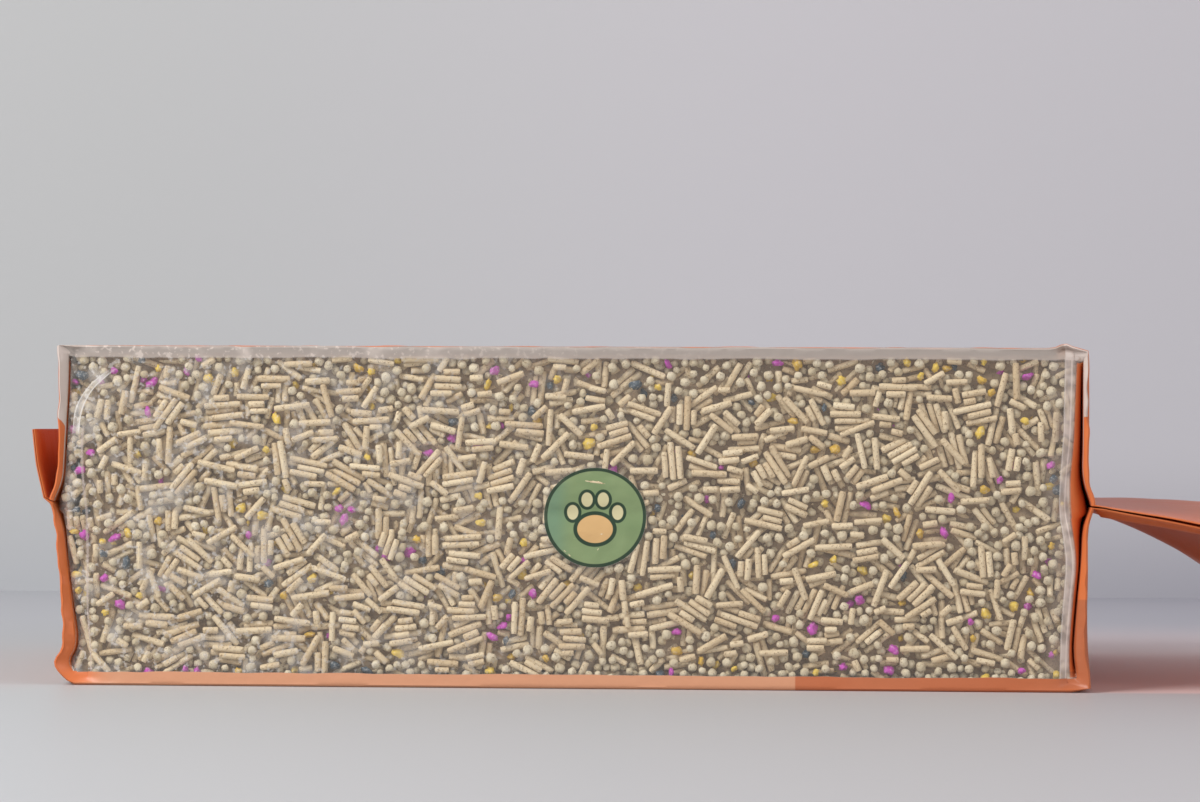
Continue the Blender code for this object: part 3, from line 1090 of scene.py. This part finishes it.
def fold_web():
    """A grid primitive in web coordinates, whose points move to their folded places."""
    count_along, count_around = web_points.shape[:2]
    deselect_all()
    bpy.ops.mesh.primitive_grid_add(x_subdivisions=count_along - 1, y_subdivisions=count_around - 1, size=2)
    film = named("folded_film")
    flat = mesh_points(film)
    column = np.rint((flat[:, 0] + 1) / 2 * (count_along - 1)).astype(int)
    row = np.rint((flat[:, 1] + 1) / 2 * (count_around - 1)).astype(int)
    web_along = (np.array([web for web, _ in rings]) - along_low) / (along_high - along_low)
    place = np.stack([web_along[column], web_around[row] / around_total], 1)
    corner = np.empty(len(film.data.loops), int)
    film.data.loops.foreach_get("vertex_index", corner)
    layer = film.data.uv_layers.active or film.data.uv_layers.new(name="UVMap")
    layer.data.foreach_set("uv", place[corner].ravel())
    film.data.vertices.foreach_set("co", web_points[column, row].ravel())
    film.data.update()
    bpy.ops.object.mode_set(mode="EDIT")
    bpy.ops.mesh.select_all(action="SELECT")
    bpy.ops.mesh.remove_doubles(threshold=0.00001)
    bpy.ops.mesh.fill_holes(sides=0)
    bpy.ops.mesh.select_all(action="SELECT")
    bpy.ops.mesh.normals_make_consistent(inside=False)
    bpy.ops.object.mode_set(mode="OBJECT")
    film.data.shade_smooth()
    film.data.set_sharp_from_angle(angle=math.radians(48))
    return film


film = fold_web()
print("film:", len(film.data.polygons), "faces")

# %% [markdown]
# ## Finish of the grains
#
# The rods and balls are ground plant fibre: pale tan, with fine darker specks, and dull. Each has
# its own tone from the attribute. Fine noise gives the specks and a little bump. A crumb takes its
# dye from the same attribute.

# %% Grain finishes
def grain_finish(name, dark, pale, speck, roughness):
    finish = Finish(name)
    place = finish.coordinates("Object")
    tone = finish.node("ShaderNodeAttribute", {"attribute_name": "grain_tone"})
    own_tone = finish.axes(finish.field(tone, "Vector"))[0]
    fine = finish.noise(place, 1300.0, 4.0, 0.7)
    broad = finish.noise(place, 300.0, 2.0)
    paleness = (own_tone * 0.8 + broad * 0.7 - 0.25).math("ADD", 0.0, clamp=True)
    color = finish.mix(paleness, dark, pale)
    specks = fine.above(0.545, 0.09) * 0.8
    finish.set("Base Color", finish.mix(specks, color, speck))
    finish.set("Roughness", roughness)
    finish.set("Specular IOR Level", 0.25)
    finish.bump(fine + broad, 0.9, 0.0004)
    return finish.material


def crumb_finish():
    finish = Finish("dyed_crumb")
    place = finish.coordinates("Object")
    dye = finish.node("ShaderNodeAttribute", {"attribute_name": "grain_tone"})
    fine = finish.noise(place, 1300.0, 3.0)
    dust = fine.above(0.5, 0.2) * 0.35
    finish.set("Base Color", finish.mix(dust, finish.field(dye, "Color"), (0.85, 0.80, 0.74)))
    finish.set("Roughness", 0.6)
    finish.bump(fine, 0.4, 0.0002)
    return finish.material


# Darkest tone, palest tone, specks and roughness
rod_look = (linear(209, 183, 143), linear(243, 225, 190), linear(154, 124, 86), 0.85)
ball_look = (linear(197, 179, 144), linear(236, 223, 195), linear(154, 133, 102), 0.9)
# The core is darker than the grains: painted shade deep in the gaps between them
shaded_core_look = (linear(150, 128, 102), linear(186, 164, 134), linear(110, 88, 64), 0.95)
grain_finishes = {
    "rods": grain_finish("pressed_rod", *rod_look),
    "balls": grain_finish("rolled_ball", *ball_look),
    "crumbs": crumb_finish(),
}
for name, piece in grain_pieces.items():
    piece.data.materials.append(grain_finishes[name.split("_")[1]])
core.data.materials.append(grain_finish("litter_core", *shaded_core_look))
print("grain finishes:", [finish.name for finish in grain_finishes.values()])

# %% [markdown]
# ## Finish of the film
#
# One web carries three looks. The panels are printed orange. The gussets are clear, with a
# faint haze and a soft shine. A round badge is printed in the middle of the near gusset. All of
# them are placed in the flat web's coordinates, and one mask says how much of the surface is
# film colour and how much is seen through. Each method below draws one of the masks.

# %% Places on the film
badge_x, badge_z, badge_radius, badge_rim = 0.0072, 0.0478, 0.0147, 0.0012
bottom_print_edge = 0.0025
top_print_edge = 0.0004
edge_wander = 0.0010
deep_field_start = 0.064
end_fold = half_length + end_reach

# The vent holes of the upper panel
vent_radius, vent_spacing, vent_from_end = 0.0005, 0.0200, 0.0250

# How far down each end panel its side edge is still clear
clear_edge_bottom, clear_edge_top = 0.0215, 0.0203

# The softness of a printed edge and of a thin line, and the border where the gussets turn in
crisp, line_soft = 0.0002, 0.0003
border = 0.0024


def circle(across, up, x, z, width, height, soft=crisp):
    """1 inside an ellipse and 0 outside it."""
    dx = (across - x) / width
    dz = (up - z) / height
    distance = (dx * dx + dz * dz).power(0.5)
    return distance.below(1.0, soft / min(width, height))


print(f"badge {2000 * badge_radius:.1f} mm wide, {1000 * badge_x:.1f} mm from the middle")


# %% Masks of the film
class FilmFinish(Finish):
    """The film's material, with the web's own places as fields.

    They are the distance along the web and around it, the height on a gusset, the distance
    from the nearer long edge, and the distance past the end fold.
    """

    def __init__(self):
        super().__init__("printed_film")
        web_x, web_y, _ = self.axes(self.coordinates("UV"))
        self.along = web_x * (along_high - along_low) + along_low
        self.around = web_y * around_total
        self.place = self.coordinates("Object")
        wander = (self.noise(self.place, 60.0, 2.0) - 0.5) * edge_wander
        near_up = self.around - half_width + wander
        far_up = self.around * -1.0 + (around_total - half_width) + wander
        self.up = near_up.least(far_up)
        self.inward = self.up.least(bag_height - self.up)
        self.past_fold = self.along.math("ABSOLUTE") - end_fold
        self.at_top_end = self.along.above(0.0, 0.01)

    def band(self, value, low, high, soft=crisp):
        """1 between two edges and 0 outside them."""
        return value.above(low, soft) * value.below(high, soft)

    def clear_gusset(self):
        """1 on the clear gussets, 0 where the web is printed."""
        low_end = self.along.above(end_fold + clear_edge_top, crisp).either(
            self.along.below(-end_fold - clear_edge_bottom, 0.004)
        )
        top_limit = (self.up + low_end * 0.0022).above(bag_height + top_print_edge, line_soft)
        off_border = self.inward.above(border, 0.0006)
        outer_layer = (self.past_fold - self.inward).above(0.0, line_soft) * off_border
        tucked = outer_layer.either(self.along.above(end_fold + 0.0004, 0.0006) * off_border)
        return self.up.above(bottom_print_edge, 0.0001) * (1 - top_limit) * (1 - tucked)

    def panel_print(self):
        """Orange, deeper near the top end and on the upper panel, and paler peach along the body's bottom
        band and under the body: painted light, where the rounded bottom edge catches the lamp.
        """
        deep = self.along.above(deep_field_start, 0.0004) * self.along.below(end_fold + 0.024, 0.0004)
        back = self.up.below(bottom_print_edge + 0.002, 0.0001)
        # Peach on the body's bottom band and back panel is painted light; elsewhere the peach is a random
        # mottle of the print
        painted_light_bottom = back * self.past_fold.below(0.0, 0.018)
        lower = self.mix(deep * back, self.mix(painted_light_bottom * 0.9, print_orange, peach_print_and_painted_light), print_deep)
        orange = self.mix(self.up.above(bag_height + 0.001, 0.002), lower, print_upper)
        mottle = self.noise(self.place, 25.0, 2.0)
        return self.mix((mottle - 0.35) * 0.35, orange, peach_print_and_painted_light)

    def badge(self):
        """The mask of the badge on the near gusset, and its ink: a rimmed disc with a paw."""
        dx = self.along - badge_x
        dz = self.around - (half_width + badge_z)
        distance = (dx * dx + dz * dz).power(0.5)
        mask = distance.below(badge_radius, crisp) * self.around.below(2 * half_around, 0.001)
        sage = self.mix(self.noise(self.place, 90.0, 1.0), badge_sage, badge_pale_sage)
        sage = self.mix(dx.below(-0.006, 0.006) * 0.45, sage, badge_blue_sage)
        toes = [circle(dx, dz, x, z, 0.0017, 0.0023) for x, z in toe_places]
        outlines = [circle(dx, dz, x, z, 0.0026, 0.0032) for x, z in toe_places]
        outlines.append(circle(dx, dz, 0.0, pad_place, 0.0063, 0.0052))
        pad = circle(dx, dz, 0.0, pad_place, 0.0052, 0.0041)
        ink = self.mix(reduce(Field.either, outlines), sage, badge_line)
        ink = self.mix(pad, ink, badge_tan)
        ink = self.mix(reduce(Field.either, toes), ink, badge_cream)
        return mask, self.mix(distance.above(badge_radius - badge_rim, crisp), ink, badge_line)

    def end_creases(self):
        """The crease at the top end, a pale band between two bright lines, and the bottom end's line. The
        lines are painted highlights of the folds.
        """
        past_crease = self.past_fold + end_reach
        pale_band = past_crease.above(-0.0024, line_soft) * self.past_fold.below(0.0009, 0.0006)
        lines = self.band(past_crease, -0.0026, -0.0020).either(self.band(past_crease, -0.0008, -0.0002))
        bend = self.up.above(0.008, 0.030) * 0.0024 - self.up.above(0.045, 0.025) * 0.0014
        low_line = self.band(past_crease + 0.0018 + bend, -0.0004, 0.0005, line_soft)
        low_line = low_line * (1 - self.at_top_end) * self.up.below(0.076, 0.004)
        lines = (lines * self.at_top_end).either(low_line * 1.3)
        return pale_band * self.at_top_end, lines, low_line

    def corner_fold(self):
        """A fold from the bottom end's upper corner down to the crease, like one arm of a V."""
        climb = ((self.up - 0.072) / 0.0194).math("MAXIMUM", 0.0)
        place = self.along + half_length - climb.power(3.0) * 0.0098
        height = self.up.above(0.0715, 0.002) * self.up.below(0.0925, 0.003)
        doubled = place.above(-0.0002, crisp) * place.below(0.0020, line_soft) * height
        lines = (self.band(place, -0.0004, 0.0002) + self.band(place, 0.0014, 0.0020)) * height
        return doubled, lines

    def vents(self):
        """The upper panel's small vent holes."""
        places = [2 * half_around + side * vent_spacing for side in (-1, 0, 1)]
        holes = [
            circle(self.along, self.around, half_length - vent_from_end, y, vent_radius, vent_radius, 0.0001)
            for y in places
        ]
        return reduce(Field.either, holes)


print("masks of the film ready")

# %% [markdown]
# The clear film is never quite clear. It hazes over where it is doubled or creased and along its upper edge,
# and it covers more where it is seen at a slant. Towards the bottom end it carries pale patches and streaks,
# a painted sheen and painted glints of the lamp. Where it turns in at the ends it is tinted brown, doubled
# film with a painted reflection of the orange panels, and by the top end's crease the brown is painted shade
# in the recess there.

# %% Film finish
print_orange = linear(214, 112, 58)
# Peach: the print's mottle, and painted light on the bottom band
peach_print_and_painted_light = linear(206, 150, 116)
print_deep = linear(184, 100, 60)
print_upper = linear(202, 96, 46)
badge_sage, badge_pale_sage = linear(112, 136, 92), linear(150, 166, 120)
badge_blue_sage = linear(96, 138, 124)
badge_line, badge_tan, badge_cream = linear(44, 66, 48), linear(218, 176, 120), linear(212, 202, 158)
toe_places = ((-0.0064, 0.0012), (-0.0023, 0.0050), (0.0023, 0.0050), (0.0064, 0.0012))
pad_place = -0.0036
clear_tint = (0.92, 0.86, 0.79)
band_tint = (0.70, 0.60, 0.53)
# Brown of the turned-in film: doubled film, with a painted reflection of the orange panels
doubled_film_and_reflection_tint = (0.74, 0.62, 0.55)
# Dark brown of the top end's recess: painted shade, with a painted reflection of the orange panels
recess_shade_tint = (0.50, 0.37, 0.30)


def film_finish():
    finish = FilmFinish()
    clear = finish.clear_gusset()
    printed = 1 - clear
    badge, ink = finish.badge()
    crease_band, crease_highlights, low_line = finish.end_creases()
    fold_film, fold_lines = finish.corner_fold()
    top_band = finish.up.above(bag_height - 0.0026, 0.0006) * clear
    clear_strip = (finish.past_fold - finish.inward).above(-0.0008, 0.0004) * clear
    # Pale patches and fine streaks towards the bottom end: painted sheen and painted glints of the lamp on
    # the film
    painted_sheen = finish.noise(finish.place, 120.0, 3.0).above(0.46, 0.28) * finish.along.below(0.06, 0.20)
    painted_glints = finish.noise(finish.place, 700.0, 2.0).above(0.57, 0.10) * finish.along.below(0.08, 0.22)
    cloudy = finish.noise(finish.place, 240.0, 2.0).above(0.30, 0.4)
    # Brown cloud by the top end's crease: painted shade in the recess, with a painted reflection of the
    # orange panels
    top_end_recess_shade = finish.along.above(half_length - 0.0085, 0.0060) * cloudy
    slant = finish.field(finish.node("ShaderNodeLayerWeight", Blend=0.35), "Facing")

    # How much each of them covers what lies behind
    see = 0.085 + painted_sheen * 0.36 + painted_glints * 0.32 + top_band * 0.50 + slant.power(2.0) * 0.45
    see = see + crease_band * 0.34 + crease_highlights * 0.30 + top_end_recess_shade * 0.34 + clear_strip * 0.45
    see = see + fold_film * 0.32 + fold_lines * 0.40
    cover = printed.either(badge * 0.93).either(see.least(0.9)) * (1 - finish.vents())

    tint = finish.mix(top_band, clear_tint, band_tint)
    tint = finish.mix(top_end_recess_shade * (1 - crease_band), tint, recess_shade_tint)
    # Where the film turns in at the ends, by the top end's crease and along the bottom end's line, it is
    # tinted brown: doubled film, with a painted reflection of the orange panels
    tint = finish.mix(clear_strip.either(crease_band).either(low_line), tint, doubled_film_and_reflection_tint)
    film_color = finish.mix(printed, tint, finish.panel_print())
    finish.set("Base Color", finish.mix(badge, film_color, ink))
    finish.set("Metallic", (1 - printed) * (1 - badge) * (1 - top_band) * (1 - crease_band) * 0.35)
    finish.set("Roughness", printed * 0.16 + 0.22 + badge * 0.1)
    finish.set("Specular IOR Level", 0.4)
    crinkle = finish.noise(finish.place, 330.0, 2.0) * 0.6 + finish.noise(finish.place, 90.0, 2.0)
    finish.bump(crinkle, 0.35, 0.0006)
    finish.see_through(cover)
    return finish.material


film.data.materials.append(film_finish())
print("film finish:", film.data.materials[0].name)

# %% [markdown]
# ## Rides and replaced solids
#
# The imported solids stay for the simulation. The detailed pieces stand for them in pictures.

# %% Tie the pieces to the frame
for piece in (film, core, *grain_pieces.values()):
    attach(piece, "root")
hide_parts("film_bag")
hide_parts("litter_fill")
print("pieces:", len(grain_pieces) + 2)

# %% [markdown]
# ## Floor and backdrop
#
# A pale table runs back to a pale wall. The soft dark band where they meet is painted shade. The table is
# paler in front of the bag's near edge and darker behind it, a painted shadow edge, and behind the bag on the
# right it is pink, a painted reddish reflection of the bag. These are colours on them, laid out in their own
# coordinates. Seen from behind, the wall is clear, so that it doesn't hide the bag there.

# %% Floor and backdrop
wall_distance = 0.55


def stage_plane(name, width, depth, place, upright):
    deselect_all()
    bpy.ops.mesh.primitive_plane_add(size=1)
    plane = named(name)
    plane.scale = (width, depth, 1)
    if upright:
        plane.rotation_euler = (math.pi / 2, 0, 0)
    apply_place(plane)
    points = mesh_points(plane) + np.array(place)
    plane.data.vertices.foreach_set("co", points.ravel())
    plane.data.update()
    return plane


floor = stage_plane("floor", 6.0, 4.6, (0, -0.15, 0), False)
wall = stage_plane("backdrop", 6.0, 3.0, (0, wall_distance, 1.49), True)


def floor_finish():
    finish = Finish("pale_table")
    x, y, _ = finish.axes(finish.coordinates("Object"))
    # Paler in front of the bag's near edge and darker behind it: a painted shadow edge. The pink behind the
    # bag on the right is a painted reddish reflection of the bag
    front = finish.mix(x.above(-0.30, 0.6), linear(187, 189, 190), linear(184, 180, 181))
    behind = finish.mix(x.above(0.0, 0.1) * x.below(0.42, 0.20), linear(178, 179, 180), linear(222, 195, 191))
    # Further back, darker and bluer towards the right: painted shade of the band where the table meets the
    # wall
    far = finish.mix(x.above(-0.05, 0.3), linear(182, 182, 186), linear(168, 166, 174))
    color = finish.mix(y.above(-half_width - 0.004, 0.012), front, behind)
    finish.set("Base Color", finish.mix(y.above(0.04, 0.30), color, far))
    finish.set("Roughness", 0.5)
    return finish.material


def wall_finish():
    finish = Finish("pale_wall")
    x, _, z = finish.axes(finish.coordinates("Object"))
    # Darker at its foot, most towards the right: painted shade of the band where the wall meets the table
    base = finish.mix(x.above(-0.10, 0.45), linear(182, 183, 185), linear(163, 160, 168))
    high = finish.mix(x.above(-0.27, 0.35), linear(190, 190, 189), linear(200, 197, 200))
    finish.set("Base Color", finish.mix(z.above(-0.01, 0.080), base, high))
    finish.set("Roughness", 0.9)
    finish.see_through(1 - finish.field(finish.node("ShaderNodeNewGeometry"), "Backfacing"))
    return finish.material


floor.data.materials.append(floor_finish())
wall.data.materials.append(wall_finish())
print("floor and backdrop at", wall_distance)

# %% [markdown]
# ## Light and camera
#
# A large soft lamp stands high on the left in front, a weaker one fills from the right, and the
# world gives the rest. The camera looks nearly level along +Y, low over the table, a little
# over a metre away from the near window.

# %% Light
def soft_lamp(name, place, target, size, power):
    data = bpy.data.lights.new(name, "AREA")
    data.shape = "RECTANGLE"
    data.size, data.size_y = size
    data.energy = power
    lamp = bpy.data.objects.new(name, data)
    lamp.location = place
    lamp.rotation_euler = (Vector(target) - Vector(place)).to_track_quat("-Z", "Y").to_euler()
    bpy.context.scene.collection.objects.link(lamp)
    return lamp


soft_lamp("key_lamp", (-0.9, -0.9, 1.1), (0, 0, 0.05), (0.9, 0.7), 22)
soft_lamp("fill_lamp", (1.3, -1.2, 0.7), (0, 0, 0.05), (0.8, 0.8), 5)
world = bpy.data.worlds.new("studio")
bpy.context.scene.world = world
world.use_nodes = True
world.node_tree.nodes["Background"].inputs["Color"].default_value = (0.94, 0.95, 1.0, 1)
world.node_tree.nodes["Background"].inputs["Strength"].default_value = 0.55
bpy.context.scene.view_settings.view_transform = "Standard"

# %% Camera
near_plane = -half_width
frame_width_at_near_plane = 0.3410
camera_distance = 1.15
camera_height = 0.0742
photo_center_x = 0.0085
photo_width_px, tilt_px = 1200, 27
sensor_width = 36.0
yaw, roll = math.radians(3.4), math.radians(0.24)
camera_data = bpy.data.cameras.new("camera")
camera_data.sensor_width = sensor_width
camera_data.lens = sensor_width * camera_distance / frame_width_at_near_plane
camera = bpy.data.objects.new("camera", camera_data)
camera.location = (
    photo_center_x + camera_distance * math.sin(yaw),
    near_plane - camera_distance * math.cos(yaw),
    camera_height,
)
tilt_up = math.atan(tilt_px / photo_width_px * frame_width_at_near_plane / camera_distance)
turn = Matrix.Rotation(yaw, 3, "Z") @ Matrix.Rotation(math.pi / 2 + tilt_up, 3, "X")
camera.rotation_euler = (turn @ Matrix.Rotation(roll, 3, "Z")).to_euler()
bpy.context.scene.collection.objects.link(camera)
bpy.context.scene.camera = camera
print("camera lens:", round(camera_data.lens, 1), "mm")
